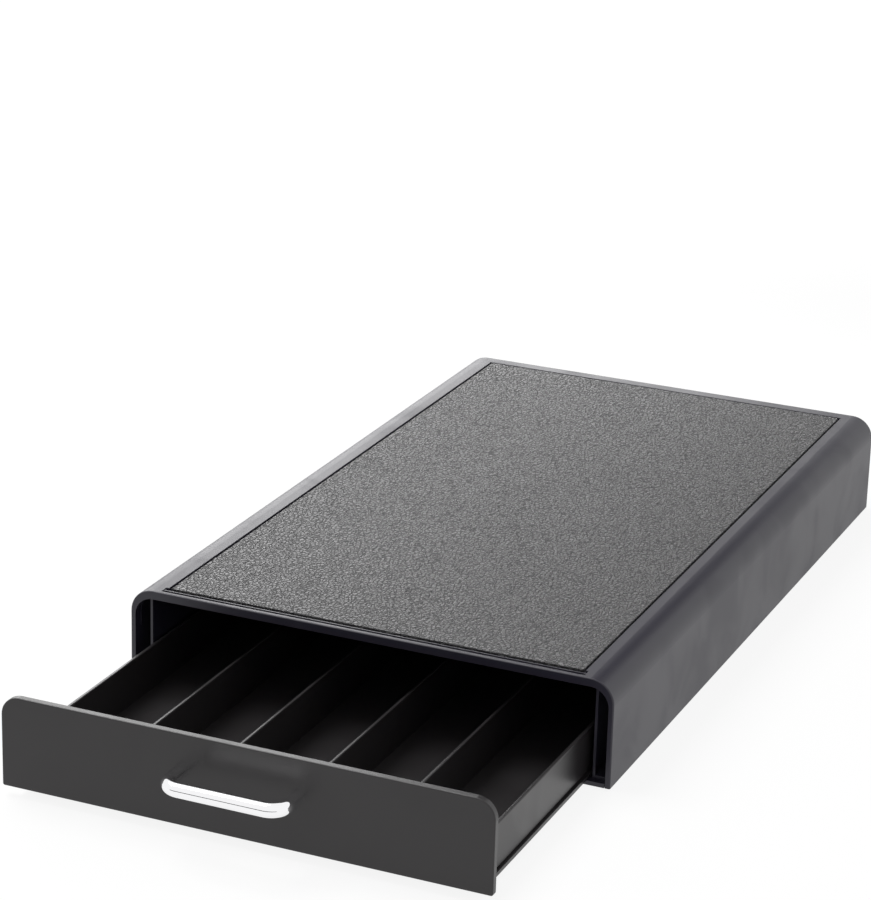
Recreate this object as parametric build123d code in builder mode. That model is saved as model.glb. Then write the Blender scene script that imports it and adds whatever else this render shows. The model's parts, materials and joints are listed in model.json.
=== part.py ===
from build123d import *

import os

# A coffee pod drawer: a low plastic case with a grained panel in its deck, and a wide
# drawer with five lanes that slides out of its front by a bright metal handle.
#
# Millimetres. X runs to the right, Y to the back and Z up. The origin is on the table,
# at the centre of the footprint that the part takes up with its drawer open as it is
# at rest.

# ---------------------------------------------------------------------------
# Driving sizes of the case
# ---------------------------------------------------------------------------
case_width = 240.0
case_depth = 400.0
case_height = 52.0  # from the table to the deck
case_edge_radius = 11.5  # the two long top edges
case_rim_round = 0.7  # the edge round the front and the back of the cover
side_wall = 2.4
deck_wall = 3.0
lip_depth = 3.0  # the thicker rim of the deck at the front, from front to back
lip_drop = 1.0  # how far that rim hangs below the deck's underside
back_thickness = 2.4
base_thickness = 2.0
base_gap = 0.3  # between the base or the back and the cover's sides
foot_proud = 0.8  # how far the feet stand below the case
bead_inset = 5.0  # from the front to the fine bead round the inside of the mouth
bead_width = 0.8
bead_height = 0.5
bead_bottom = 32.0  # where the bead ends on each side, above the table

# Grained panel in the deck
panel_thickness = 1.4
panel_side_margin = 16.4  # deck left and right of the panel's recess
panel_front_margin = 2.2
panel_back_margin = 7.2
panel_gap = 1.1  # the groove round the panel
panel_front_gap = 4.8  # the wide groove along its front edge
panel_groove_overrun = 1.3  # how far the front groove runs past the recess
panel_corner_radius = 1.2
panel_edge_chamfer = 0.25
recess_edge_chamfer = 0.2
ridge_width = 0.7  # of the fine ridge that parts the front groove in two
ridge_drop = 0.3  # its top, below the deck

# Guides of the drawer, their channel beside the cover's walls, and the screws there
side_channel = 6.1
guide_web = 1.2
guide_flange = 1.6
guide_flange_gap = 0.6
guide_top_gap = 1.2
runner_height = 0.4
runner_width = 3.0
runner_offsets = (42.4, 98.0)  # of the base's runners, either side of the middle
stop_inset = 90.0  # from the case's front to the stop on each guide
stop_length = 4.0
stop_width = 1.8
boss_gap = 0.5  # between each boss and the guide beside it
boss_length = 7.0
boss_end_inset = 22.0
back_boss_spacing = 80.0
back_flange_depth = 8.0

# ---------------------------------------------------------------------------
# Driving sizes of the drawer
# ---------------------------------------------------------------------------
drawer_open = 123.0  # how far it stands out of the case at rest
lane_count = 5
tray_side_gap = 1.0  # running gap between the tray's floor and each guide
slide_gap = 0.2  # running gap between the tray's floor and the base's runners
floor_thickness = 1.8
floor_lip = 1.2  # how far the floor stands out beyond the tray's sides
tray_wall = 1.8
tray_height = 21.3  # of the walls and dividers, above the floor
end_wall = 2.0
divider_thickness = 1.6
fit_gap = 0.2  # between pieces that slot together
seam_height = 0.9  # the shadow line between each side and the floor
seam_depth = 0.7
rear_space = 8.4  # behind the closed tray
corner_rib = 3.0
wall_round_share = 0.3  # the round on a wall's top edges, as a share of its thickness
tab_shares = (0.15, 0.5, 0.85)  # places of the tabs along a wall's length
tab_length = 14.0
tab_thickness = 1.0
lug_length = 6.0
lug_margin = 4.0  # the lug's distance from the floor and from the side's top

# Drawer front
front_thickness = 3.2
front_side_gap = 2.1
front_top_gap = 0.8
front_bottom_gap = 1.7
front_corner_radius = 9.0
front_foot_radius = 1.0
front_edge_round = 0.6
front_stop_gap = 0.3  # left between the closed front and the guides
front_boss_radius = 3.0
front_boss_height = 1.8
pilot_skin = 0.8  # left between a blind hole and the face beyond it

# Handle
handle_rod = 6.5
handle_spread = 55.0  # between the centres of its legs
handle_reach = 21.0  # from the drawer front to the front of the bar
handle_height = 30.5  # of the rod's centre above the table
handle_bend = 7.5
handle_thread_depth = 9.0

# Screws and feet
screw_gap = 0.1  # between a screw's shank and its hole
screw_end_gap = 1.0  # between a screw's tip and the end of its hole
screw_tip_share = 0.8  # a tip's length, as a share of the shank's radius
pan_flat_share = 0.7  # a pan head's flat top, as a share of its radius
pan_edge_share = 0.45  # the height of its edge, as a share of the head's
recess_span_share = 1.1  # the cross recess, as shares of the head's radius
recess_slot_share = 0.26
recess_depth_share = 0.3
case_screw_radius = 1.1
case_screw_head = 2.0
case_screw_length = 8.0
tray_screw_radius = 1.5
tray_screw_head = 4.2
handle_screw_radius = 1.75
handle_screw_head = 3.5
pan_head_height = 1.9
countersink_angle = 90.0
foot_radius = 7.0
foot_thickness = 2.0
foot_inset_x = 22.0
foot_inset_y = 22.0

# ---------------------------------------------------------------------------
# Places that follow from them
# ---------------------------------------------------------------------------
overall_length = handle_reach + drawer_open + case_depth
front_face = -overall_length / 2 + handle_reach
case_front = front_face + drawer_open
case_back = case_front + case_depth
case_middle = (case_front + case_back) / 2

inner_half = case_width / 2 - side_wall
inner_radius = case_edge_radius - side_wall
deck_underside = case_height - deck_wall
lip_bottom = deck_underside - lip_drop
base_top = foot_proud + base_thickness
back_inner = case_back - back_thickness

guide_outer = inner_half - side_channel
guide_inner = guide_outer - guide_web
guide_front = case_front + front_thickness + front_stop_gap
guide_back = back_inner - back_flange_depth - base_gap
guide_foot_top = base_top + guide_flange
boss_size = side_channel - boss_gap
boss_x = inner_half - boss_size / 2
boss_rows = (case_front + boss_end_inset, case_middle, case_back - boss_end_inset)
side_hole_depth = case_screw_length - base_thickness - guide_flange + screw_end_gap
back_boss_y = back_inner - back_flange_depth / 2
back_hole_depth = case_screw_length - base_thickness + screw_end_gap
back_boss_height = back_hole_depth + pilot_skin
stop_front = case_front + stop_inset

floor_bottom = base_top + runner_height + slide_gap
floor_top = floor_bottom + floor_thickness
floor_half = guide_inner - tray_side_gap
side_outer = floor_half - floor_lip
side_inner = side_outer - tray_wall
wall_top = floor_top + tray_height
tray_front = front_face + front_thickness
tray_back = back_inner - rear_space - drawer_open
lanes_front = tray_front + end_wall
lanes_back = tray_back - end_wall
lane_width = (2 * side_inner - (lane_count - 1) * divider_thickness) / lane_count
lane_pitch = lane_width + divider_thickness

front_half = inner_half - front_side_gap
front_top = lip_bottom - front_top_gap
front_bottom = base_top + front_bottom_gap
front_screw_places = [n * lane_pitch for n in (-2, -1, 1, 2)]
front_screw_height = floor_top + tray_height / 2
pilot_depth = front_thickness - pilot_skin
tray_screw_length = front_boss_height + pilot_depth - screw_gap
handle_screw_length = front_thickness + handle_thread_depth - screw_end_gap

stop_bottom = floor_top + lug_margin
stop_top = wall_top - lug_margin


# ---------------------------------------------------------------------------
# Shapes used more than once
# ---------------------------------------------------------------------------
def face_plane(y):
    """The upright plane at depth y, with X to its right and Z up. Its front faces -Y."""
    return Plane.XZ.offset(-y)


def arch(half_width, bottom, top, radius):
    """A rectangle with its two top corners rounded."""
    with BuildSketch() as outline:
        with Locations((0, (bottom + top) / 2)):
            Rectangle(2 * half_width, top - bottom)
        fillet(outline.vertices().group_by(Axis.Y)[-1], radius)
    return outline.sketch


def block(low, high):
    """A plain block between two corners."""
    centre = [(a + b) / 2 for a, b in zip(low, high)]
    size = [b - a for a, b in zip(low, high)]
    return Pos(*centre) * Box(*size, mode=Mode.PRIVATE)


def screw(head_radius, shank_radius, length, sunk):
    """A cross-recess screw along Z. A sunk head is flush with Z = 0, a pan head on it."""
    sink = head_radius - shank_radius
    head_top = 0.0 if sunk else pan_head_height
    shank_end = shank_radius * screw_tip_share - length
    if sunk:
        head = [(head_radius, 0), (shank_radius, -sink)]
    else:
        head = [
            (head_radius * pan_flat_share, head_top),
            (head_radius, head_top * pan_edge_share),
            (head_radius, 0),
            (shank_radius, 0),
        ]
    recess_span = head_radius * recess_span_share
    recess_slot = head_radius * recess_slot_share
    with BuildPart() as body:
        with BuildSketch(Plane.XZ):
            with BuildLine():
                Polyline((0, head_top), *head, (shank_radius, shank_end), (0, -length), close=True)
            make_face()
        revolve(axis=Axis.Z)
        with BuildSketch(Plane.XY.offset(head_top)):
            Rectangle(recess_span, recess_slot)
            Rectangle(recess_slot, recess_span)
        extrude(amount=-head_radius * recess_depth_share, mode=Mode.SUBTRACT)
    return body.part


def floor_tabs(runs_along_y, ends, at):
    """Centres and sizes of the tabs by which a tray wall is fixed in the floor."""
    span = ends[1] - ends[0]
    places = [ends[0] + span * share for share in tab_shares]
    if runs_along_y:
        return [((at, place), (tab_thickness, tab_length)) for place in places]
    return [((place, at), (tab_length, tab_thickness)) for place in places]


def tab_blocks(tabs):
    """The tabs themselves, from the floor's underside up to its top."""
    blocks = []
    for (x, y), (width, length) in tabs:
        low = (x - width / 2, y - length / 2, floor_bottom)
        high = (x + width / 2, y + length / 2, floor_top)
        blocks.append(block(low, high))
    return blocks


def save(part, name):
    part.label = name
    export_step(part, f"parts/{name}.step")


os.makedirs("parts", exist_ok=True)

# ---------------------------------------------------------------------------
# Case cover: deck and sides in one moulding, with the screw bosses inside
# ---------------------------------------------------------------------------
cover_outline = arch(case_width / 2, foot_proud, case_height, case_edge_radius)
opening_outline = arch(inner_half, foot_proud, lip_bottom, inner_radius)
hollow_outline = arch(inner_half, foot_proud, deck_underside, inner_radius)
bead_outline = arch(
    inner_half - bead_height, foot_proud, deck_underside - bead_height, inner_radius - bead_height
)
recess_half = case_width / 2 - panel_side_margin
recess_front = case_front + panel_front_margin
recess_back = case_back - panel_back_margin
panel_front = recess_front + panel_front_gap

with BuildPart() as cover_hollow:
    with BuildSketch(face_plane(case_front)):
        add(opening_outline)
    extrude(amount=-lip_depth)
    with BuildSketch(face_plane(case_front + lip_depth)):
        add(hollow_outline)
    extrude(amount=-(case_depth - lip_depth))
    with BuildSketch(Plane.XY.offset(guide_foot_top)):
        for side in (-1, 1):
            with Locations(*[(side * inner_half, row) for row in boss_rows]):
                Rectangle(2 * boss_size, boss_length)
    extrude(amount=case_height - guide_foot_top, mode=Mode.SUBTRACT)
    with BuildSketch(face_plane(case_front + bead_inset)):
        add(hollow_outline)
        add(bead_outline, mode=Mode.SUBTRACT)
        with Locations((0, bead_bottom)):
            Rectangle(case_width, case_height, align=(Align.CENTER, Align.MAX), mode=Mode.SUBTRACT)
    extrude(amount=-bead_width, mode=Mode.SUBTRACT)

with BuildPart() as case_cover:
    with BuildSketch(face_plane(case_front)):
        add(cover_outline)
    extrude(amount=-case_depth)
    ends = case_cover.faces().filter_by(Axis.Y)
    rim = [e for e in ends.edges() if e.center().Z > foot_proud + case_rim_round]
    fillet(rim, case_rim_round)
    add(cover_hollow.part, mode=Mode.SUBTRACT)
    with BuildSketch(Plane.XY.offset(case_height)):
        with Locations((0, (recess_front + recess_back) / 2)):
            Rectangle(2 * recess_half, recess_back - recess_front)
        with Locations((0, recess_front + panel_front_gap / 2)):
            Rectangle(2 * (recess_half + panel_groove_overrun), panel_front_gap)
    extrude(amount=-panel_thickness, mode=Mode.SUBTRACT)
    deck_face = case_cover.faces().filter_by(Axis.Z).sort_by(Axis.Z)[-1]
    chamfer(deck_face.inner_wires()[0].edges(), recess_edge_chamfer)
    with BuildSketch(Plane.XY.offset(case_height - panel_thickness)):
        with Locations((0, recess_front + panel_front_gap / 2)):
            Rectangle(2 * (recess_half + panel_groove_overrun), ridge_width)
    extrude(amount=panel_thickness - ridge_drop)
    for side in (-1, 1):
        for row in boss_rows:
            with Locations(Plane((side * boss_x, row, guide_foot_top), z_dir=(0, 0, -1))):
                Hole(case_screw_radius + screw_gap, side_hole_depth)
save(case_cover.part, "case_cover")

# ---------------------------------------------------------------------------
# Grained panel in the deck
# ---------------------------------------------------------------------------
panel_half = recess_half - panel_gap
panel_back = recess_back - panel_gap

with BuildPart() as deck_panel:
    with BuildSketch(Plane.XY.offset(case_height - panel_thickness)):
        with Locations((0, (panel_front + panel_back) / 2)):
            RectangleRounded(2 * panel_half, panel_back - panel_front, panel_corner_radius)
    extrude(amount=panel_thickness)
    chamfer(deck_panel.faces().sort_by(Axis.Z)[-1].edges(), panel_edge_chamfer)
save(deck_panel.part, "deck_panel")

# ---------------------------------------------------------------------------
# Back of the case, with the foot by which the base holds it
# ---------------------------------------------------------------------------
back_half = inner_half - base_gap
back_screw_places = [n * back_boss_spacing for n in (-1, 0, 1)]

with BuildPart() as case_back_panel:
    with BuildSketch(face_plane(back_inner)):
        add(arch(back_half, foot_proud, deck_underside - base_gap, inner_radius - base_gap))
    extrude(amount=-back_thickness)
    with BuildSketch(Plane.XY.offset(base_top)):
        with Locations((0, back_boss_y)):
            Rectangle(2 * (guide_inner - base_gap), back_flange_depth)
    extrude(amount=guide_flange)
    with BuildSketch(Plane.XY.offset(base_top)):
        with Locations(*[(x, back_boss_y) for x in back_screw_places]):
            Circle(boss_size / 2)
    extrude(amount=back_boss_height)
    for x in back_screw_places:
        with Locations(Plane((x, back_boss_y, base_top), z_dir=(0, 0, -1))):
            Hole(case_screw_radius + screw_gap, back_hole_depth)
save(case_back_panel.part, "case_back_panel")

# ---------------------------------------------------------------------------
# Base plate, with low runners under the tray and a seat for each foot
# ---------------------------------------------------------------------------
foot_places = {
    "front_left": (foot_inset_x - case_width / 2, case_front + foot_inset_y),
    "front_right": (case_width / 2 - foot_inset_x, case_front + foot_inset_y),
    "back_left": (foot_inset_x - case_width / 2, case_back - foot_inset_y),
    "back_right": (case_width / 2 - foot_inset_x, case_back - foot_inset_y),
}
case_screw_places = [(side * boss_x, row) for side in (-1, 1) for row in boss_rows]
case_screw_places += [(x, back_boss_y) for x in back_screw_places]
runner_back = guide_back - base_gap

with BuildPart() as base_plate:
    with BuildSketch(Plane.XY.offset(foot_proud)):
        with Locations((0, (case_front + back_inner - base_gap) / 2)):
            Rectangle(2 * back_half, back_inner - base_gap - case_front)
    extrude(amount=base_thickness)
    with BuildSketch(Plane.XY.offset(base_top)):
        for offset in runner_offsets:
            for side in (-1, 1):
                with Locations((side * offset, (guide_front + runner_back) / 2)):
                    Rectangle(runner_width, runner_back - guide_front)
    extrude(amount=runner_height)
    with BuildSketch(Plane.XY.offset(foot_proud)):
        with Locations(*foot_places.values()):
            Circle(foot_radius + fit_gap)
    extrude(amount=foot_thickness - foot_proud, mode=Mode.SUBTRACT)
    for x, y in case_screw_places:
        with Locations(Plane((x, y, foot_proud), z_dir=(0, 0, -1))):
            CounterSinkHole(
                case_screw_radius + screw_gap,
                case_screw_head + screw_gap,
                counter_sink_angle=countersink_angle,
            )
save(base_plate.part, "base_plate")

# ---------------------------------------------------------------------------
# Rubber feet
# ---------------------------------------------------------------------------
for name, place in foot_places.items():
    with BuildPart() as foot:
        with BuildSketch(Plane.XY):
            with Locations(place):
                Circle(foot_radius)
        extrude(amount=foot_thickness)
        chamfer(foot.faces().sort_by(Axis.Z)[0].edges(), foot_proud / 2)
    save(foot.part, f"foot_{name}")


# ---------------------------------------------------------------------------
# Guides: upright webs beside the tray, each on a flange under the cover's bosses
# ---------------------------------------------------------------------------
def guide(side):
    """The guide on one side, -1 for left and 1 for right, with its drawer stop."""
    flange_outer = inner_half - guide_flange_gap
    with BuildPart() as rail:
        with BuildSketch(face_plane(guide_front)):
            with Locations((side * (guide_inner + guide_outer) / 2, base_top)):
                Rectangle(
                    guide_web,
                    deck_underside - guide_top_gap - base_top,
                    align=(Align.CENTER, Align.MIN),
                )
            with Locations((side * (guide_inner + flange_outer) / 2, base_top)):
                Rectangle(
                    flange_outer - guide_inner,
                    guide_flange,
                    align=(Align.CENTER, Align.MIN),
                )
        extrude(amount=-(guide_back - guide_front))
        with BuildSketch(Plane.XY.offset(stop_bottom)):
            with Locations((side * (guide_inner - stop_width / 2), stop_front + stop_length / 2)):
                Rectangle(stop_width, stop_length)
        extrude(amount=stop_top - stop_bottom)
        for row in boss_rows:
            with Locations((side * boss_x, row, guide_foot_top)):
                Hole(case_screw_radius + screw_gap)
    return rail.part


save(guide(-1), "guide_left")
save(guide(1), "guide_right")

# ---------------------------------------------------------------------------
# Screws that hold the base, the guides and the back to the cover
# ---------------------------------------------------------------------------
case_screw = screw(case_screw_head, case_screw_radius, case_screw_length, sunk=True)

with BuildPart() as base_screws:
    for x, y in case_screw_places:
        add(Plane((x, y, foot_proud), z_dir=(0, 0, -1)) * case_screw)
save(base_screws.part, "base_screws")

# ---------------------------------------------------------------------------
# Tray floor: its edges run beside the guides, and the walls' tabs lock into it
# ---------------------------------------------------------------------------
side_middle = (side_inner + side_outer) / 2
side_ends = (tray_front, tray_back)
across_ends = (-side_inner, side_inner)
divider_ends = (lanes_front + fit_gap, lanes_back - fit_gap)
divider_places = [(n - lane_count / 2) * lane_pitch for n in range(1, lane_count)]
front_wall_tabs = floor_tabs(False, across_ends, (tray_front + lanes_front) / 2)
back_wall_tabs = floor_tabs(False, across_ends, (lanes_back + tray_back) / 2)
side_tabs = {side: floor_tabs(True, side_ends, side * side_middle) for side in (-1, 1)}
divider_tabs = {x: floor_tabs(True, divider_ends, x) for x in divider_places}
all_tabs = front_wall_tabs + back_wall_tabs
for tabs in (*side_tabs.values(), *divider_tabs.values()):
    all_tabs += tabs

with BuildPart() as tray_floor:
    with BuildSketch(Plane.XY.offset(floor_bottom)):
        with Locations((0, (tray_front + tray_back) / 2)):
            Rectangle(2 * floor_half, tray_back - tray_front)
        for centre, (width, length) in all_tabs:
            with Locations(centre):
                Rectangle(width + fit_gap, length + fit_gap, mode=Mode.SUBTRACT)
    extrude(amount=floor_thickness)
save(tray_floor.part, "tray_floor")


# ---------------------------------------------------------------------------
# Tray sides
# ---------------------------------------------------------------------------
def tray_side(side):
    """The tray's side, -1 for left and 1 for right, with its stop lug at the back."""
    with BuildPart() as wall:
        add(
            block(
                (side_inner, tray_front, floor_top),
                (side_outer, tray_back, wall_top),
            )
        )
        top_edges = wall.faces().sort_by(Axis.Z)[-1].edges().filter_by(Axis.Y)
        fillet(top_edges, tray_wall * wall_round_share)
        add(
            block(
                (side_outer - seam_depth, tray_front, floor_top),
                (side_outer, tray_back, floor_top + seam_height),
            ),
            mode=Mode.SUBTRACT,
        )
        for near, far in (
            (lanes_front, lanes_front + corner_rib),
            (lanes_back - corner_rib, lanes_back),
        ):
            add(
                block(
                    (side_inner - corner_rib, near, floor_top),
                    (side_inner, far, wall_top - tray_wall),
                )
            )
        add(
            block(
                (side_outer, tray_back - lug_length, stop_bottom + fit_gap),
                (side_outer + stop_width, tray_back, stop_top - fit_gap),
            )
        )
        add(tab_blocks(side_tabs[1]))
        if side < 0:
            mirror(about=Plane.YZ, mode=Mode.REPLACE)
    return wall.part


save(tray_side(-1), "tray_side_left")
save(tray_side(1), "tray_side_right")

# ---------------------------------------------------------------------------
# Tray end walls, the front one with holes for the drawer front's bosses
# ---------------------------------------------------------------------------
end_half = side_inner - fit_gap / 2

with BuildPart() as tray_front_wall:
    add(block((-end_half, tray_front, floor_top), (end_half, lanes_front, wall_top)))
    top_edges = tray_front_wall.faces().sort_by(Axis.Z)[-1].edges().filter_by(Axis.X)
    fillet(top_edges, end_wall * wall_round_share)
    add(tab_blocks(front_wall_tabs))
    with BuildSketch(face_plane(tray_front)):
        with Locations(*[(x, front_screw_height) for x in front_screw_places]):
            Circle(front_boss_radius + fit_gap)
    extrude(amount=-end_wall, mode=Mode.SUBTRACT)
save(tray_front_wall.part, "tray_front_wall")

with BuildPart() as tray_back_wall:
    add(block((-end_half, lanes_back, floor_top), (end_half, tray_back, wall_top)))
    top_edges = tray_back_wall.faces().sort_by(Axis.Z)[-1].edges().filter_by(Axis.X)
    fillet(top_edges, end_wall * wall_round_share)
    add(tab_blocks(back_wall_tabs))
save(tray_back_wall.part, "tray_back_wall")

# ---------------------------------------------------------------------------
# Dividers between the lanes
# ---------------------------------------------------------------------------
for number, x in enumerate(divider_places, start=1):
    with BuildPart() as divider:
        add(
            block(
                (x - divider_thickness / 2, divider_ends[0], floor_top),
                (x + divider_thickness / 2, divider_ends[1], wall_top),
            )
        )
        top_edges = divider.faces().sort_by(Axis.Z)[-1].edges().filter_by(Axis.Y)
        fillet(top_edges, divider_thickness * wall_round_share)
        add(tab_blocks(divider_tabs[x]))
    save(divider.part, f"divider_{number}")

# ---------------------------------------------------------------------------
# Drawer front
# ---------------------------------------------------------------------------
leg_places = [(side * handle_spread / 2, handle_height) for side in (-1, 1)]

with BuildPart() as drawer_front:
    with BuildSketch(face_plane(front_face)) as outline:
        add(arch(front_half, front_bottom, front_top, front_corner_radius))
        fillet(outline.vertices().group_by(Axis.Y)[0], front_foot_radius)
    extrude(amount=-front_thickness)
    fillet(drawer_front.faces().sort_by(Axis.Y)[0].edges(), front_edge_round)
    with BuildSketch(face_plane(tray_front)):
        with Locations(*[(x, front_screw_height) for x in front_screw_places]):
            Circle(front_boss_radius)
    extrude(amount=-front_boss_height)
    for x in front_screw_places:
        boss_end = (x, tray_front + front_boss_height, front_screw_height)
        with Locations(Plane(boss_end, z_dir=(0, 1, 0))):
            Hole(tray_screw_radius + screw_gap, front_boss_height + pilot_depth)
    with BuildSketch(face_plane(front_face)):
        with Locations(*leg_places):
            Circle(handle_screw_radius + screw_gap)
    extrude(amount=-front_thickness, mode=Mode.SUBTRACT)
save(drawer_front.part, "drawer_front")

# ---------------------------------------------------------------------------
# Handle: a round rod bent at both ends, its legs tapped for the screws
# ---------------------------------------------------------------------------
bar_y = front_face - handle_reach + handle_rod / 2
leg_x = handle_spread / 2

with BuildPart() as handle:
    with BuildLine(Plane.XY.offset(handle_height)) as rod_path:
        FilletPolyline(
            (-leg_x, front_face),
            (-leg_x, bar_y),
            (leg_x, bar_y),
            (leg_x, front_face),
            radius=handle_bend,
        )
    with BuildSketch(Plane((-leg_x, front_face, handle_height), z_dir=(0, -1, 0))):
        Circle(handle_rod / 2)
    sweep()
    for x, z in leg_places:
        with Locations(Plane((x, front_face, z), z_dir=(0, 1, 0))):
            Hole(handle_screw_radius + screw_gap, handle_thread_depth)
save(handle.part, "handle")

# ---------------------------------------------------------------------------
# Screws of the handle and of the drawer front
# ---------------------------------------------------------------------------
handle_screw = screw(handle_screw_head, handle_screw_radius, handle_screw_length, sunk=False)
tray_screw = screw(tray_screw_head, tray_screw_radius, tray_screw_length, sunk=False)

with BuildPart() as handle_screws:
    for x, z in leg_places:
        add(Plane((x, tray_front, z), z_dir=(0, 1, 0)) * handle_screw)
save(handle_screws.part, "handle_screws")

with BuildPart() as front_screws:
    for x in front_screw_places:
        add(Plane((x, lanes_front, front_screw_height), z_dir=(0, 1, 0)) * tray_screw)
save(front_screws.part, "front_screws")

# ---------------------------------------------------------------------------
# Travel of the drawer from rest
# ---------------------------------------------------------------------------
lug_front = tray_back - lug_length
open_travel = lug_front - (stop_front + stop_length) - front_stop_gap
print(f"the drawer closes by {drawer_open:.1f} mm and opens a further {open_travel:.1f} mm")
print(f"each lane is {lane_width:.1f} mm wide and {lanes_back - lanes_front:.1f} mm long")
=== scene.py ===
# %% [markdown]
# A coffee pod drawer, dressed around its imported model
#
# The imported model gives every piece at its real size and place, in metres: X to the right,
# Y to the back, Z up, with the table at Z = 0. This lesson adds what the model lacks: the
# finishes, the studio and a few pieces whose shape follows a rule, and it moves nothing.

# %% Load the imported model
import json
import math
import bmesh
import bpy
from mathutils import Matrix, Vector


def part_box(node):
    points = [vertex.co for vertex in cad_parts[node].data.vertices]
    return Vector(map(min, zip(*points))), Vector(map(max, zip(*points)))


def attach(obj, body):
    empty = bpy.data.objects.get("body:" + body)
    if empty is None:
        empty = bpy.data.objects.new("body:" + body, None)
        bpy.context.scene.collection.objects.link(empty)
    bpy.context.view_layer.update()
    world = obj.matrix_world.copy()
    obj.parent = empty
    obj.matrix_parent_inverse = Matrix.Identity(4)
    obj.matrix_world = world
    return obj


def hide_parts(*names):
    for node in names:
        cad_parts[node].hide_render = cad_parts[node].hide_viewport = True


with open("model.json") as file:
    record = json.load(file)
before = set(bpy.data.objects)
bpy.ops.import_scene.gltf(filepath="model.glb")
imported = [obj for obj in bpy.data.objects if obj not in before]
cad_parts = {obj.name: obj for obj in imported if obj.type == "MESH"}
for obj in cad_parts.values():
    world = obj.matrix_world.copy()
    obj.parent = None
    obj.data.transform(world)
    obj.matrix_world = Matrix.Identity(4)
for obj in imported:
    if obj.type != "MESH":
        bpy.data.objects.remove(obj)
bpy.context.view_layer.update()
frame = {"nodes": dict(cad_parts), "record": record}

nodes = frame["nodes"]
mm = 0.001

# %% [markdown]
# Small helpers for node trees
#
# Every material and every Geometry Nodes tree below is wired by the same two helpers, so
# that a tree reads as a list of its nodes. A number is set straight on the socket, and a
# socket of another node is linked.


# %% Helpers that place and wire a node
def place(tree, kind, settings=None, **inputs):
    """Adds a node, sets its properties, and sets or links its inputs by name."""
    made = tree.nodes.new(kind)
    for name, value in (settings or {}).items():
        setattr(made, name, value)
    for name, value in inputs.items():
        feed(tree, made.inputs[name.replace("_", " ")], value)
    return made


def feed(tree, socket, value):
    """Links a socket to another, or gives it a plain value."""
    if isinstance(value, bpy.types.NodeSocket):
        tree.links.new(value, socket)
    else:
        socket.default_value = value


def maths(tree, operation, first, second=0.0, third=0.0, clamp=False):
    """One Math node, whose three inputs share a name and so go by their number."""
    made = tree.nodes.new("ShaderNodeMath")
    made.operation = operation
    made.use_clamp = clamp
    for socket, value in zip(made.inputs, (first, second, third)):
        feed(tree, socket, value)
    return made.outputs[0]


# %% [markdown]
# The fine grain of moulded plastic
#
# The case and the drawer are moulded in a tool whose walls are spark-eroded, which leaves
# a stipple well under a millimetre. It could be painted as an image, but noise on Object
# coordinates has no seams and the same size on every piece, so it is a shader group that
# all the plastics share. It puts out a height and a slow drift of tone.


# %% A group for moulded grain
def group_socket(group, name, direction, kind="NodeSocketFloat", value=None):
    socket = group.interface.new_socket(name=name, in_out=direction, socket_type=kind)
    if value is not None:
        socket.default_value = value
    return socket


moulded_grain = bpy.data.node_groups.new("moulded_grain", "ShaderNodeTree")
group_socket(moulded_grain, "Pits per metre", "INPUT", value=1800.0)
group_socket(moulded_grain, "Drift per metre", "INPUT", value=9.0)
group_socket(moulded_grain, "Height", "OUTPUT")
group_socket(moulded_grain, "Drift", "OUTPUT")
grain_in = place(moulded_grain, "NodeGroupInput")
grain_out = place(moulded_grain, "NodeGroupOutput")
object_place = place(moulded_grain, "ShaderNodeTexCoord").outputs["Object"]
pits = place(
    moulded_grain,
    "ShaderNodeTexNoise",
    Vector=object_place,
    Scale=grain_in.outputs["Pits per metre"],
    Detail=2.0,
    Roughness=0.6,
)
drift = place(
    moulded_grain,
    "ShaderNodeTexNoise",
    Vector=object_place,
    Scale=grain_in.outputs["Drift per metre"],
    Detail=3.0,
    Roughness=0.5,
)
moulded_grain.links.new(pits.outputs["Fac"], grain_out.inputs["Height"])
moulded_grain.links.new(drift.outputs["Fac"], grain_out.inputs["Drift"])
print("group", moulded_grain.name, "with", len(moulded_grain.nodes), "nodes")

# %% [markdown]
# The leather grain of the deck's panel
#
# The panel is pressed with a coarse grain: low pebbles about 2 mm across with winding
# creases between them. Modelling each pebble would take millions of faces, so the
# grain is a height for a Bump node. Cells of a Voronoi texture give the pebbles, and noise
# bends their walls so that no two are alike.

# %% A group for leather grain
leather_grain = bpy.data.node_groups.new("leather_grain", "ShaderNodeTree")
group_socket(leather_grain, "Pebbles per metre", "INPUT", value=520.0)
group_socket(leather_grain, "Bend", "INPUT", value=0.0011)
group_socket(leather_grain, "Height", "OUTPUT")
group_socket(leather_grain, "Crease", "OUTPUT")
leather_in = place(leather_grain, "NodeGroupInput")
leather_out = place(leather_grain, "NodeGroupOutput")
panel_place = place(leather_grain, "ShaderNodeTexCoord").outputs["Object"]
bend = place(
    leather_grain,
    "ShaderNodeTexNoise",
    Vector=panel_place,
    Scale=leather_in.outputs["Pebbles per metre"],
    Detail=1.0,
)
centred_bend = place(leather_grain, "ShaderNodeVectorMath", {"operation": "SUBTRACT"})
feed(leather_grain, centred_bend.inputs[0], bend.outputs["Color"])
centred_bend.inputs[1].default_value = (0.5, 0.5, 0.5)
scaled_bend = place(leather_grain, "ShaderNodeVectorMath", {"operation": "SCALE"})
feed(leather_grain, scaled_bend.inputs[0], centred_bend.outputs[0])
feed(leather_grain, scaled_bend.inputs["Scale"], leather_in.outputs["Bend"])
bent_place = place(leather_grain, "ShaderNodeVectorMath", {"operation": "ADD"})
feed(leather_grain, bent_place.inputs[0], panel_place)
feed(leather_grain, bent_place.inputs[1], scaled_bend.outputs[0])
pebbles = place(
    leather_grain,
    "ShaderNodeTexVoronoi",
    {"feature": "DISTANCE_TO_EDGE"},
    Vector=bent_place.outputs[0],
    Scale=leather_in.outputs["Pebbles per metre"],
)
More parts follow.
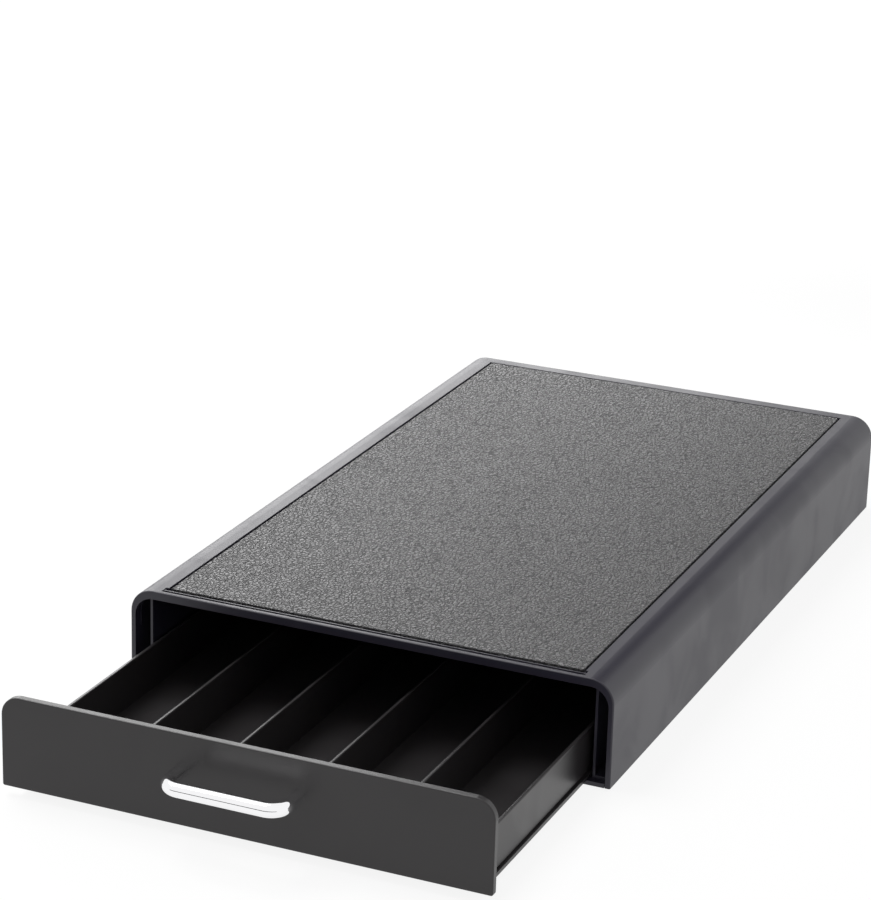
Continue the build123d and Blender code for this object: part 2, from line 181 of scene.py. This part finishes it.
pebble_top = place(leather_grain, "ShaderNodeMapRange", {"interpolation_type": "SMOOTHSTEP"})
feed(leather_grain, pebble_top.inputs["Value"], pebbles.outputs["Distance"])
pebble_top.inputs["From Max"].default_value = 0.22
ripple = place(
    leather_grain,
    "ShaderNodeTexNoise",
    Vector=bent_place.outputs[0],
    Scale=leather_in.outputs["Pebbles per metre"],
    Detail=3.0,
    Roughness=0.65,
)
grain_height = maths(
    leather_grain, "MULTIPLY_ADD", ripple.outputs["Fac"], 1.4, pebble_top.outputs[0]
)
crease = maths(leather_grain, "SUBTRACT", 1.0, pebble_top.outputs[0], clamp=True)
leather_grain.links.new(grain_height, leather_out.inputs["Height"])
leather_grain.links.new(crease, leather_out.inputs["Crease"])
print("group", leather_grain.name, "with", len(leather_grain.nodes), "nodes")

# %% [markdown]
# Dust and handling
#
# Black plastic is never quite clean: a little pale dust lies on what faces up, and fingers
# leave soft patches that shine differently. Both are the same on every piece, so they are
# one group. It reads the surface's normal for the dust and noise for the patches.

# %% A group for dust and finger marks
handling = bpy.data.node_groups.new("handling", "ShaderNodeTree")
group_socket(handling, "Dust", "INPUT", value=0.3)
group_socket(handling, "Patches per metre", "INPUT", value=28.0)
group_socket(handling, "Dust mask", "OUTPUT")
group_socket(handling, "Patch mask", "OUTPUT")
handling_in = place(handling, "NodeGroupInput")
handling_out = place(handling, "NodeGroupOutput")
handled_place = place(handling, "ShaderNodeTexCoord").outputs["Object"]
upward = place(handling, "ShaderNodeSeparateXYZ")
feed(handling, upward.inputs[0], place(handling, "ShaderNodeNewGeometry").outputs["Normal"])
specks = place(
    handling, "ShaderNodeTexNoise", Vector=handled_place, Scale=900.0, Detail=4.0, Roughness=0.7
)
speck_mask = maths(handling, "MULTIPLY", upward.outputs["Z"], specks.outputs["Fac"], clamp=True)
dust_mask = maths(handling, "MULTIPLY", speck_mask, handling_in.outputs["Dust"], clamp=True)
patches = place(
    handling,
    "ShaderNodeTexNoise",
    Vector=handled_place,
    Scale=handling_in.outputs["Patches per metre"],
    Detail=2.0,
    Distortion=0.6,
)
patch_mask = place(handling, "ShaderNodeMapRange", {"interpolation_type": "SMOOTHSTEP"})
feed(handling, patch_mask.inputs["Value"], patches.outputs["Fac"])
patch_mask.inputs["From Min"].default_value = 0.42
patch_mask.inputs["From Max"].default_value = 0.72
handling.links.new(dust_mask, handling_out.inputs["Dust mask"])
handling.links.new(patch_mask.outputs[0], handling_out.inputs["Patch mask"])
print("group", handling.name, "with", len(handling.nodes), "nodes")

# %% [markdown]
# One recipe for all the plastics
#
# The plastics differ in colour, shine and grain, and otherwise work alike: colour drifts a
# little, dust pales it, patches change its shine, and the grain goes through a Bump node.
# So they come from one function. What is the same all over a surface is set on the
# Principled shader's own sockets.


# %% Plastic from a colour, a shine and a grain
def new_material(name):
    made = bpy.data.materials.new(name)
    made.use_nodes = True
    return made, made.node_tree, made.node_tree.nodes["Principled BSDF"]


def mixed_colour(tree, amount, first, second):
    """A colour between two, by a mask."""
    mix = place(tree, "ShaderNodeMix", {"data_type": "RGBA"})
    feed(tree, mix.inputs["Factor"], amount)
    feed(tree, mix.inputs[6], first)
    feed(tree, mix.inputs[7], second)
    return mix.outputs[2]


dust_colour = (0.30, 0.29, 0.28, 1.0)


def plastic(name, colour, shine, pit_rate, pit_height, dust=0.02):
    """Moulded plastic: colour is linear, shine is (smooth, handled) roughness."""
    made, tree, shader = new_material(name)
    grain = place(tree, "ShaderNodeGroup", {"node_tree": moulded_grain})
    grain.inputs["Pits per metre"].default_value = pit_rate
    marks = place(tree, "ShaderNodeGroup", {"node_tree": handling})
    marks.inputs["Dust"].default_value = dust
    deep = (*[c * 0.86 for c in colour], 1.0)
    pale = (*[c * 1.12 for c in colour], 1.0)
    body = mixed_colour(tree, grain.outputs["Drift"], deep, pale)
    dusty = mixed_colour(tree, marks.outputs["Dust mask"], body, dust_colour)
    feed(tree, shader.inputs["Base Color"], dusty)
    roughness = place(tree, "ShaderNodeMapRange")
    feed(tree, roughness.inputs["Value"], marks.outputs["Patch mask"])
    roughness.inputs["To Min"].default_value = shine[0]
    roughness.inputs["To Max"].default_value = shine[1]
    feed(tree, shader.inputs["Roughness"], roughness.outputs[0])
    bump = place(tree, "ShaderNodeBump", Height=grain.outputs["Height"], Distance=pit_height)
    bump.inputs["Strength"].default_value = 0.35
    feed(tree, shader.inputs["Normal"], bump.outputs[0])
    shader.inputs["IOR"].default_value = 1.5
    return made


# The blue in the case's colour is a painted tint of light: it stands for the cool light mirrored in the
# case's side.
case_plastic = plastic("case_plastic", (0.0150, 0.0132, 0.0235), (0.40, 0.46), 1500.0, 0.00005)
drawer_plastic = plastic("drawer_plastic", (0.0155, 0.0138, 0.0148), (0.33, 0.40), 1700.0, 0.00004)
print("plastics:", case_plastic.name, drawer_plastic.name)

# %% [markdown]
# The panel, the rubber, the chrome and the screws
#
# The panel is the same black plastic under its leather grain. Its creases are painted darker than
# the pebble tops, as painted shade, and the tops shine more. Rubber is dull and soft black. The
# handle is chrome plate, almost a mirror, with faint wipe marks in its shine. The screws are zinc
# plate, greyer and duller.

# %% The panel's leather-grained plastic
panel_plastic, panel_tree, panel_shader = new_material("grained_panel")
panel_grain = place(panel_tree, "ShaderNodeGroup", {"node_tree": leather_grain})
panel_marks = place(panel_tree, "ShaderNodeGroup", {"node_tree": handling})
panel_marks.inputs["Dust"].default_value = 0.03
pebble_colour = (0.020, 0.018, 0.021, 1.0)
# The creases take a darker colour than the pebble tops: painted shade in the creases.
crease_shade_colour = (0.004, 0.004, 0.005, 1.0)
grain_with_painted_shade = mixed_colour(panel_tree, panel_grain.outputs["Crease"], pebble_colour, crease_shade_colour)
dusted = mixed_colour(panel_tree, panel_marks.outputs["Dust mask"], grain_with_painted_shade, dust_colour)
feed(panel_tree, panel_shader.inputs["Base Color"], dusted)
panel_shine = place(panel_tree, "ShaderNodeMapRange")
feed(panel_tree, panel_shine.inputs["Value"], panel_grain.outputs["Crease"])
panel_shine.inputs["To Min"].default_value = 0.28
panel_shine.inputs["To Max"].default_value = 0.6
feed(panel_tree, panel_shader.inputs["Roughness"], panel_shine.outputs[0])
panel_bump = place(
    panel_tree, "ShaderNodeBump", Height=panel_grain.outputs["Height"], Distance=0.0005
)
panel_bump.inputs["Strength"].default_value = 1.0
feed(panel_tree, panel_shader.inputs["Normal"], panel_bump.outputs[0])
print("panel grain of", panel_grain.inputs["Pebbles per metre"].default_value, "pebbles a metre")

# %% The rubber of the feet
foot_rubber = plastic("foot_rubber", (0.018, 0.018, 0.018), (0.62, 0.75), 2600.0, 0.00008, dust=0.08)
print("rubber:", foot_rubber.name)


# %% Plated metal
def plated(name, colour, shine, wipe_rate):
    """Plated metal whose shine changes along fine wipe marks."""
    made, tree, shader = new_material(name)
    where = place(tree, "ShaderNodeTexCoord").outputs["Object"]
    wipes = place(tree, "ShaderNodeTexNoise", Vector=where, Scale=wipe_rate, Detail=4.0)
    wipes.inputs["Distortion"].default_value = 1.5
    shine_range = place(tree, "ShaderNodeMapRange")
    feed(tree, shine_range.inputs["Value"], wipes.outputs["Fac"])
    shine_range.inputs["To Min"].default_value = shine[0]
    shine_range.inputs["To Max"].default_value = shine[1]
    feed(tree, shader.inputs["Roughness"], shine_range.outputs[0])
    dulled = (*[c * 0.97 for c in colour], 1.0)
    tone = mixed_colour(tree, wipes.outputs["Fac"], dulled, (*colour, 1.0))
    feed(tree, shader.inputs["Base Color"], tone)
    shader.inputs["Metallic"].default_value = 1.0
    return made


chrome_plate = plated("chrome_rod", (0.93, 0.93, 0.94), (0.02, 0.07), 160.0)
zinc_plate = plated("screw_steel", (0.52, 0.52, 0.53), (0.22, 0.38), 900.0)
print("metals:", chrome_plate.name, zinc_plate.name)

# %% [markdown]
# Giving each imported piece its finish
#
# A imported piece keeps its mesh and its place, and only its material slots are filled again.
# Which finish it takes is the record's material slot for its node.

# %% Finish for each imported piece
finishes = {
    "case_plastic": case_plastic,
    "drawer_plastic": drawer_plastic,
    "grained_panel": panel_plastic,
    "foot_rubber": foot_rubber,
    "chrome_rod": chrome_plate,
    "screw_steel": zinc_plate,
}
slot_of = {row["node"]: row["material_slot"] for row in frame["record"]["subparts"]}
for name, piece in nodes.items():
    piece.data.materials.clear()
    piece.data.materials.append(finishes[slot_of[name]])
print("finished", len(nodes), "packed pieces")

# %% [markdown]
# The chrome handle
#
# The real handle is one round rod, bent twice and screwed on from behind. A swept circle is
# that shape exactly, so Geometry Nodes sweep one along a path with filleted corners. The
# path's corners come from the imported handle's box, and the tree's named inputs hold the
# rod's radius and the radius of its bends.


# %% Helpers that build a Geometry Nodes piece
def new_tree(name, inputs):
    """A tree with a Geometry input and output and the named inputs, given as defaults."""
    tree = bpy.data.node_groups.new(name, "GeometryNodeTree")
    tree.interface.new_socket(name="Geometry", in_out="INPUT", socket_type="NodeSocketGeometry")
    tree.interface.new_socket(name="Geometry", in_out="OUTPUT", socket_type="NodeSocketGeometry")
    kinds = {float: "NodeSocketFloat", int: "NodeSocketInt", tuple: "NodeSocketVector"}
    for label, value in inputs.items():
        group_socket(tree, label, "INPUT", kinds[type(value)], value)
    return tree, place(tree, "NodeGroupInput"), place(tree, "NodeGroupOutput")


def mesh_of(name, points, edges=()):
    made = bpy.data.meshes.new(name)
    made.from_pydata([tuple(p) for p in points], list(edges), [])
    return made


def grown(name, points, edges, tree, values, body, replaced):
    """Grows a piece by a tree from a few points, and leaves it as a plain mesh."""
    seed = bpy.data.objects.new(name + "_seed", mesh_of(name + "_seed", points, edges))
    bpy.context.scene.collection.objects.link(seed)
    modifier = seed.modifiers.new("grow", "NODES")
    modifier.node_group = tree
    for item in tree.interface.items_tree:
        if item.in_out == "INPUT" and item.name in values:
            modifier[item.identifier] = values[item.name]
    depsgraph = bpy.context.evaluated_depsgraph_get()
    mesh = bpy.data.meshes.new_from_object(seed.evaluated_get(depsgraph))
    mesh.name = name
    bpy.data.objects.remove(seed)
    piece = bpy.data.objects.new(name, mesh)
    bpy.context.scene.collection.objects.link(piece)
    outward(mesh)
    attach(piece, body)
    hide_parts(*replaced)
    triangles = sum(len(p.vertices) - 2 for p in mesh.polygons)
    print(name, "has", triangles, "triangles and stands for", ", ".join(replaced))
    return piece


def outward(mesh):
    """Turns every face of a closed mesh outwards."""
    work = bmesh.new()
    work.from_mesh(mesh)
    bmesh.ops.recalc_face_normals(work, faces=work.faces)
    work.to_mesh(mesh)
    work.free()


# %% Sweep the handle
rod_tree, rod_in, rod_out = new_tree(
    "bent_rod", {"Rod radius": 0.003, "Bend radius": 0.0075, "Sides": 48, "Bend steps": 14}
)
path = place(rod_tree, "GeometryNodeMeshToCurve", Mesh=rod_in.outputs["Geometry"])
filleted = place(rod_tree, "GeometryNodeFilletCurve", {"mode": "POLY"}, Curve=path.outputs[0])
feed(rod_tree, filleted.inputs["Radius"], rod_in.outputs["Bend radius"])
feed(rod_tree, filleted.inputs["Count"], rod_in.outputs["Bend steps"])
section = place(rod_tree, "GeometryNodeCurvePrimitiveCircle", Resolution=rod_in.outputs["Sides"])
feed(rod_tree, section.inputs["Radius"], rod_in.outputs["Rod radius"])
swept = place(rod_tree, "GeometryNodeCurveToMesh", Curve=filleted.outputs[0])
feed(rod_tree, swept.inputs["Profile Curve"], section.outputs[0])
swept.inputs["Fill Caps"].default_value = True
rod_smooth = place(rod_tree, "GeometryNodeSetShadeSmooth", Geometry=swept.outputs[0])
rod_real = place(rod_tree, "GeometryNodeRealizeInstances", Geometry=rod_smooth.outputs[0])
rod_finish = place(rod_tree, "GeometryNodeSetMaterial", Geometry=rod_real.outputs[0])
rod_finish.inputs["Material"].default_value = chrome_plate
rod_tree.links.new(rod_finish.outputs[0], rod_out.inputs["Geometry"])

rod_low, rod_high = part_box("handle")
rod_radius = (rod_high.z - rod_low.z) / 2
rod_height = (rod_high.z + rod_low.z) / 2
bend_radius = 7.5 * mm  # to the rod's centre line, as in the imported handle
bar_y = rod_low.y + rod_radius
leg_x = rod_high.x - rod_radius
rod_corners = [
    (-leg_x, rod_high.y, rod_height),
    (-leg_x, bar_y, rod_height),
    (leg_x, bar_y, rod_height),
    (leg_x, rod_high.y, rod_height),
]
grown(
    "handle_rod",
    rod_corners,
    [(0, 1), (1, 2), (2, 3)],
    rod_tree,
    {"Rod radius": rod_radius, "Bend radius": bend_radius},
    "drawer",
    ["handle"],
)

# %% [markdown]
# Turned pieces: screws and feet
#
# Screws and feet are bodies of revolution. One tree turns a section like a lathe: it bends
# a flat grid round the axis, and a curve node gives the radius and another the height at
# each row of the grid. The turned shape is then placed on every point that comes in. The
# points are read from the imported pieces, which hold one separate solid for each screw.


# %% A lathe in Geometry Nodes
def profile_curve(tree, row_share, values):
    """A Float Curve that gives one value of the section for each row."""
    curve_node = place(tree, "ShaderNodeFloatCurve")
    feed(tree, curve_node.inputs["Value"], row_share)
    line = curve_node.mapping.curves[0]
    last = len(values) - 1
    line.points[0].location = (0.0, values[0])
    line.points[1].location = (1.0, values[-1])
    for index in range(1, last):
        line.points.new(index / last, values[index])
    for point in line.points:
        point.handle_type = "VECTOR"
    curve_node.mapping.update()
    return curve_node.outputs[0]


def lathe(tree, group_in, section, sides):
    """Turns a section, given as shares of the named Radius and Height, about Z."""
    grid = place(tree, "GeometryNodeMeshGrid")
    grid.inputs["Size X"].default_value = 1.0
    grid.inputs["Size Y"].default_value = 1.0
    grid.inputs["Vertices X"].default_value = sides + 1
    grid.inputs["Vertices Y"].default_value = len(section)
    where = place(tree, "ShaderNodeSeparateXYZ")
    feed(tree, where.inputs[0], place(tree, "GeometryNodeInputPosition").outputs[0])
    turn = maths(tree, "MULTIPLY", maths(tree, "ADD", where.outputs["X"], 0.5), 2 * math.pi)
    row = maths(tree, "ADD", where.outputs["Y"], 0.5)
    share_r = profile_curve(tree, row, [r for r, _ in section])
    share_h = profile_curve(tree, row, [h for _, h in section])
    radius = maths(tree, "MULTIPLY", share_r, group_in.outputs["Radius"])
    height = maths(tree, "MULTIPLY", share_h, group_in.outputs["Height"])
    round_place = place(tree, "ShaderNodeCombineXYZ")
    feed(tree, round_place.inputs["X"], maths(tree, "MULTIPLY", radius, maths(tree, "COSINE", turn)))
    feed(tree, round_place.inputs["Y"], maths(tree, "MULTIPLY", radius, maths(tree, "SINE", turn)))
    feed(tree, round_place.inputs["Z"], height)
    bent = place(tree, "GeometryNodeSetPosition", Geometry=grid.outputs["Mesh"])
    feed(tree, bent.inputs["Position"], round_place.outputs[0])
    closed = place(tree, "GeometryNodeMergeByDistance", Geometry=bent.outputs[0])
    closed.inputs["Distance"].default_value = 0.000002
    return closed.outputs[0]


def placed_on_points(tree, group_in, group_out, shape, finish, smooth_angle=35.0):
    """Puts the shape on each incoming point, turned by the named Turn, as real mesh."""
    spread = place(tree, "GeometryNodeInstanceOnPoints", Points=group_in.outputs["Geometry"])
    feed(tree, spread.inputs["Instance"], shape)
    turn = place(tree, "FunctionNodeEulerToRotation")
    feed(tree, turn.inputs[0], group_in.outputs["Turn"])
    feed(tree, spread.inputs["Rotation"], turn.outputs[0])
    real = place(tree, "GeometryNodeRealizeInstances", Geometry=spread.outputs[0])
    edge_angle = place(tree, "GeometryNodeInputMeshEdgeAngle").outputs["Unsigned Angle"]
    soft = maths(tree, "LESS_THAN", edge_angle, math.radians(smooth_angle))
    shaded = place(tree, "GeometryNodeSetShadeSmooth", {"domain": "EDGE"}, Geometry=real.outputs[0])
    feed(tree, shaded.inputs["Shade Smooth"], soft)
    finished = place(tree, "GeometryNodeSetMaterial", Geometry=shaded.outputs[0])
    finished.inputs["Material"].default_value = finish
    tree.links.new(finished.outputs[0], group_out.inputs["Geometry"])


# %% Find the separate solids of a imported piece
def solids_of(name):
    """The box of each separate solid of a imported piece, as (low, high)."""
    work = bmesh.new()
    work.from_mesh(nodes[name].data)
    bmesh.ops.remove_doubles(work, verts=work.verts, dist=0.000001)
    left = set(work.verts)
    boxes = []
    while left:
        batch = [left.pop()]
        found = []
        while batch:
            vert = batch.pop()
            found.append(vert.co.copy())
            for edge in vert.link_edges:
                other = edge.other_vert(vert)
                if other in left:
                    left.remove(other)
                    batch.append(other)
        low = Vector([min(p[i] for p in found) for i in range(3)])
        high = Vector([max(p[i] for p in found) for i in range(3)])
        boxes.append((low, high))
    work.free()
    return sorted(boxes, key=lambda b: (round(b[0].y, 4), b[0].x))


screw_boxes = {name: solids_of(name) for name in ("base_screws", "front_screws", "handle_screws")}
print("screws:", {name: len(boxes) for name, boxes in screw_boxes.items()})

# %% [markdown]
# Cross-recess screws
#
# The drawer's pan heads are domed, and the case's heads are sunk flush with its base. Both
# have a cross recess. The heads are turned on the lathe and the recess is cut with a
# boolean, because a real recess is a hole with floor and walls, and it catches the light.


# %% Turn and cut a screw
def cut_cross(tree, group_in, shape, top_share, recess_share, slot_share, depth_share):
    """Cuts a cross recess into the top of a shape, sized by the named Radius."""
    cutter = place(tree, "GeometryNodeJoinGeometry")
    depth = maths(tree, "MULTIPLY", group_in.outputs["Radius"], 2 * depth_share)
    span = maths(tree, "MULTIPLY", group_in.outputs["Radius"], 2 * recess_share)
    slot = maths(tree, "MULTIPLY", group_in.outputs["Radius"], 2 * slot_share)
    top = maths(tree, "MULTIPLY", group_in.outputs["Height"], top_share)
    for sizes in ((span, slot, depth), (slot, span, depth)):
        size = place(tree, "ShaderNodeCombineXYZ")
        for axis, value in zip("XYZ", sizes):
            feed(tree, size.inputs[axis], value)
        bar = place(tree, "GeometryNodeMeshCube", Size=size.outputs[0])
        tree.links.new(bar.outputs["Mesh"], cutter.inputs[0])
    lift = place(tree, "ShaderNodeCombineXYZ", Z=top)
    raised = place(tree, "GeometryNodeTransform", Geometry=cutter.outputs[0])
    feed(tree, raised.inputs["Translation"], lift.outputs[0])
    cut = place(tree, "GeometryNodeMeshBoolean", {"operation": "DIFFERENCE", "solver": "EXACT"})
    tree.links.new(shape, cut.inputs["Mesh 1"])
    tree.links.new(raised.outputs[0], cut.inputs["Mesh 2"])
    cut.inputs["Self Intersection"].default_value = True
    return cut.outputs["Mesh"]


def screw_tree(name, section, top_share, turn):
    tree, tree_in, tree_out = new_tree(name, {"Radius": 0.002, "Height": 0.006, "Turn": turn})
    turned = lathe(tree, tree_in, section, 40)
    cut = cut_cross(tree, tree_in, turned, top_share, 0.55, 0.13, 0.3)
    placed_on_points(tree, tree_in, tree_out, cut, zinc_plate)
    return tree


def dome(first, last, steps):
    """Points of a quarter ellipse from (radius, height) first to last, both included."""
    spans = [(1 - math.cos(a), math.sin(a)) for a in (math.pi / 2 * i / steps for i in range(steps + 1))]
    return [(first[0] + (last[0] - first[0]) * s, first[1] + (last[1] - first[1]) * c) for c, s in spans]


print("a dome has", len(dome((0, 1), (1, 0), 6)), "points")


# %% The drawer's pan heads
def pan_section(head_share, shank_share):
    """From the tip to the dome: radius as a share of the head's, height of the screw's."""
    tip = [(0.0, 0.0), (shank_share, shank_share * 0.12)]
    neck = [(shank_share, 1 - head_share), (0.97, 1 - head_share), (1.0, 1 - head_share * 0.8)]
    top = dome((0.0, 1.0), (1.0, 1 - head_share * 0.6), 6)
    return tip + neck + top[::-1]


pan_turn = (math.radians(-90.0), 0.0, 0.0)
for name, head_share, shank_share in (("front_screws", 0.32, 0.36), ("handle_screws", 0.145, 0.46)):
    boxes = screw_boxes[name]
    low, high = boxes[0]
    radius = (high.x - low.x) / 2
    length = high.y - low.y
    points = [((l.x + h.x) / 2, l.y, (l.z + h.z) / 2) for l, h in boxes]
    tree = screw_tree("turned_" + name, pan_section(head_share, shank_share), 1.0, pan_turn)
    grown(
        "pan_head_" + name,
        points,
        (),
        tree,
        {"Radius": radius, "Height": length, "Turn": pan_turn},
        "drawer",
        [name],
    )

# %% The case's sunk heads
sunk_turn = (math.pi, 0.0, 0.0)
boxes = screw_boxes["base_screws"]
low, high = boxes[0]
sunk_radius = (high.x - low.x) / 2
sunk_length = high.z - low.z
shank_share = 0.55
shoulder = 1 - (1 - shank_share) * sunk_radius / sunk_length
sunk_section = [
    (0.0, 0.0),
    (shank_share, 0.11),
    (shank_share, shoulder),
    (0.97, 0.995),
    (0.90, 1.0),
    (0.0, 1.0),
]
grown(
    "sunk_head_screws",
    [((l.x + h.x) / 2, (l.y + h.y) / 2, h.z) for l, h in boxes],
    (),
    screw_tree("turned_base_screws", sunk_section, 1.0, sunk_turn),
    {"Radius": sunk_radius, "Height": sunk_length, "Turn": sunk_turn},
    "case",
    ["base_screws"],
)

# %% [markdown]
# Rubber feet
#
# Each foot is a moulded rubber button pressed into a seat in the base. Its underside is
# rounded at the edge and dished in the middle, so that it stands on a ring and doesn't rock.
# That is a section turned about an axis too, so the same lathe makes it.

# %% Turn the feet
foot_names = [name for name in nodes if name.startswith("foot_")]
foot_low, foot_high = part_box(foot_names[0])
foot_radius = (foot_high.x - foot_low.x) / 2
foot_height = foot_high.z - foot_low.z
foot_section = (
    [(0.0, 1.0), (1.0, 1.0), (1.0, 0.30)]
    + dome((0.86, 0.0), (1.0, 0.30), 5)[::-1][1:]
    + [(0.62, 0.0), (0.55, 0.14), (0.0, 0.14)]
)[::-1]
feet_tree, feet_in, feet_out = new_tree(
    "turned_feet", {"Radius": 0.007, "Height": 0.002, "Turn": (0.0, 0.0, 0.0)}
)
placed_on_points(feet_tree, feet_in, feet_out, lathe(feet_tree, feet_in, foot_section, 56), foot_rubber)
feet_points = []
for name in foot_names:
    low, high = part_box(name)
    feet_points.append(((low.x + high.x) / 2, (low.y + high.y) / 2, low.z))
grown(
    "turned_feet",
    feet_points,
    (),
    feet_tree,
    {"Radius": foot_radius, "Height": foot_height, "Turn": (0.0, 0.0, 0.0)},
    "case",
    foot_names,
)

# %% [markdown]
# The studio
#
# A plain pale table under a white sky, and soft lamps at a plain level. Black plastic shows
# almost nothing but what it mirrors, so the lamps are wide and stand where the deck, the
# front and the sides mirror them. The table and the sky are seen and mirrored as white,
# while the table still takes the object's soft shadow.


# %% A flat piece of the stage, and what is seen or mirrored
def stage_sheet(name, corners, paint):
    mesh = bpy.data.meshes.new(name)
    mesh.from_pydata(corners, [], [(0, 1, 2, 3)])
    mesh.materials.append(paint)
    sheet = bpy.data.objects.new(name, mesh)
    bpy.context.scene.collection.objects.link(sheet)
    return sheet


def seen_or_mirrored(tree):
    """1 where a ray comes from the camera, a mirror or glass, and 0 for light on things."""
    rays = place(tree, "ShaderNodeLightPath")
    seen = maths(tree, "MAXIMUM", rays.outputs["Is Camera Ray"], rays.outputs["Is Glossy Ray"])
    return maths(tree, "MAXIMUM", seen, rays.outputs["Is Transmission Ray"])


print("the stage's helpers are ready")

# %% Table
table_half = 6.0
table_white = 0.88
table_paint, table_tree, table_shader = new_material("table_paint")
table_shader.inputs["Base Color"].default_value = (0.92, 0.92, 0.92, 1.0)
table_shader.inputs["Roughness"].default_value = 0.9
table_shader.inputs["Specular IOR Level"].default_value = 0.1
table_glow = place(table_tree, "ShaderNodeEmission", Color=(1.0, 1.0, 1.0, 1.0), Strength=1.0)
table_mix = place(table_tree, "ShaderNodeMixShader")
table_share = maths(table_tree, "MULTIPLY", seen_or_mirrored(table_tree), table_white)
feed(table_tree, table_mix.inputs[0], table_share)
feed(table_tree, table_mix.inputs[1], table_shader.outputs[0])
feed(table_tree, table_mix.inputs[2], table_glow.outputs[0])
feed(table_tree, table_tree.nodes["Material Output"].inputs["Surface"], table_mix.outputs[0])
table_corners = [(x * table_half, y * table_half, 0.0) for x, y in ((-1, -1), (1, -1), (1, 1), (-1, 1))]
stage_sheet("table", table_corners, table_paint)
print("the table is", 2 * table_half, "m wide")

# %% Sky
sky = bpy.data.worlds.new("sky")
bpy.context.scene.world = sky
sky.use_nodes = True
sky_tree = sky.node_tree
sky_tree.nodes.clear()
seen = seen_or_mirrored(sky_tree)
white_sky = place(sky_tree, "ShaderNodeBackground", Color=(1.0, 1.0, 1.0, 1.0), Strength=1.0)
dim_sky = place(sky_tree, "ShaderNodeBackground", Color=(1.0, 1.0, 1.0, 1.0), Strength=0.62)
sky_mix = place(sky_tree, "ShaderNodeMixShader")
feed(sky_tree, sky_mix.inputs[0], seen)
feed(sky_tree, sky_mix.inputs[1], dim_sky.outputs[0])
feed(sky_tree, sky_mix.inputs[2], white_sky.outputs[0])
place(sky_tree, "ShaderNodeOutputWorld", Surface=sky_mix.outputs[0])
print("the sky is white")

# %% [markdown]
# Dark cards behind and in front of the case
#
# The deck mirrors what stands behind it, and in the photograph its right-hand front part
# mirrors something dark. A photographer would put up a card there, so a card stands behind
# the case. It is mirrored and keeps some of the back lamp off that part of the deck. A long
# low one in front puts a dark line in the chrome. No view shows either card.

# %% Cards that no view shows
card_paint, card_tree, card_shader = new_material("card_paint")
card_shader.inputs["Base Color"].default_value = (0.03, 0.03, 0.035, 1.0)
card_shader.inputs["Roughness"].default_value = 1.0


def mirrored_card(name, y, low, high, shades=False):
    """An upright card at depth y, from (x, z) low to high, that may also cast a shadow."""
    corners = [(low[0], y, low[1]), (high[0], y, low[1]), (high[0], y, high[1]), (low[0], y, high[1])]
    card = stage_sheet(name, corners, card_paint)
    card.visible_camera = False
    card.visible_diffuse = False
    card.visible_transmission = False
    card.visible_shadow = shades


mirrored_card("back_card", 0.5, (-0.26, 0.215), (0.25, 0.8), shades=True)
mirrored_card("front_card", -3.0, (-3.0, 0.0), (3.0, 0.42))
print("two cards")


# %% Soft lamps
def soft_lamp(name, where, aim, size, watts, colour=(1.0, 1.0, 1.0)):
    lamp = bpy.data.lights.new(name, "AREA")
    lamp.shape = "RECTANGLE"
    lamp.size, lamp.size_y = size
    lamp.energy = watts
    lamp.color = colour
    holder = bpy.data.objects.new(name, lamp)
    bpy.context.scene.collection.objects.link(holder)
    holder.location = where
    holder.rotation_mode = "QUATERNION"
    holder.rotation_quaternion = (Vector(aim) - Vector(where)).to_track_quat("-Z", "Y")
    holder.visible_camera = False
    return holder


case_heart = (0.0, 0.0, 0.03)
soft_lamp("key_lamp", (-0.75, 0.0, 1.45), case_heart, (0.9, 0.9), 18.0)
soft_lamp("back_panel", (-1.0, 1.5, 0.65), (-0.1, 0.1, 0.05), (1.3, 0.9), 12.0)

# %% [markdown]
# The camera
#
# The camera stands where the photograph was taken: to the right of the drawer and well
# above it. Its place, turn and lens were worked out from the case's straight edges, whose
# lengths are known. The picture is 871 by 900 pixels, and the lens is given by its focal
# length in those pixels.

# %% Camera at the photograph's place
picture_long_side = 900.0
focal_pixels = 3127.77
case_front_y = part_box("case_cover")[0].y
camera_place = Vector((0.53814, case_front_y - 1.18105, 0.60133))
azimuth, elevation, roll = (math.radians(a) for a in (23.2055, 19.5528, 1.6305))
camera_data = bpy.data.cameras.new("camera")
camera_data.sensor_width = 36.0
camera_data.lens = focal_pixels / picture_long_side * camera_data.sensor_width
camera_data.clip_start = 0.01
camera = bpy.data.objects.new("camera", camera_data)
bpy.context.scene.collection.objects.link(camera)
backward = Vector(
    (
        math.sin(azimuth) * math.cos(elevation),
        -math.cos(azimuth) * math.cos(elevation),
        math.sin(elevation),
    )
)
camera.rotation_mode = "QUATERNION"
level = (-backward).to_track_quat("-Z", "Y")
tilt = Matrix.Rotation(roll, 4, "Z").to_quaternion()
camera.rotation_quaternion = level @ tilt
camera.location = camera_place
bpy.context.scene.camera = camera
bpy.context.scene.view_settings.view_transform = "Standard"
print("lens", round(camera_data.lens, 2), "mm")
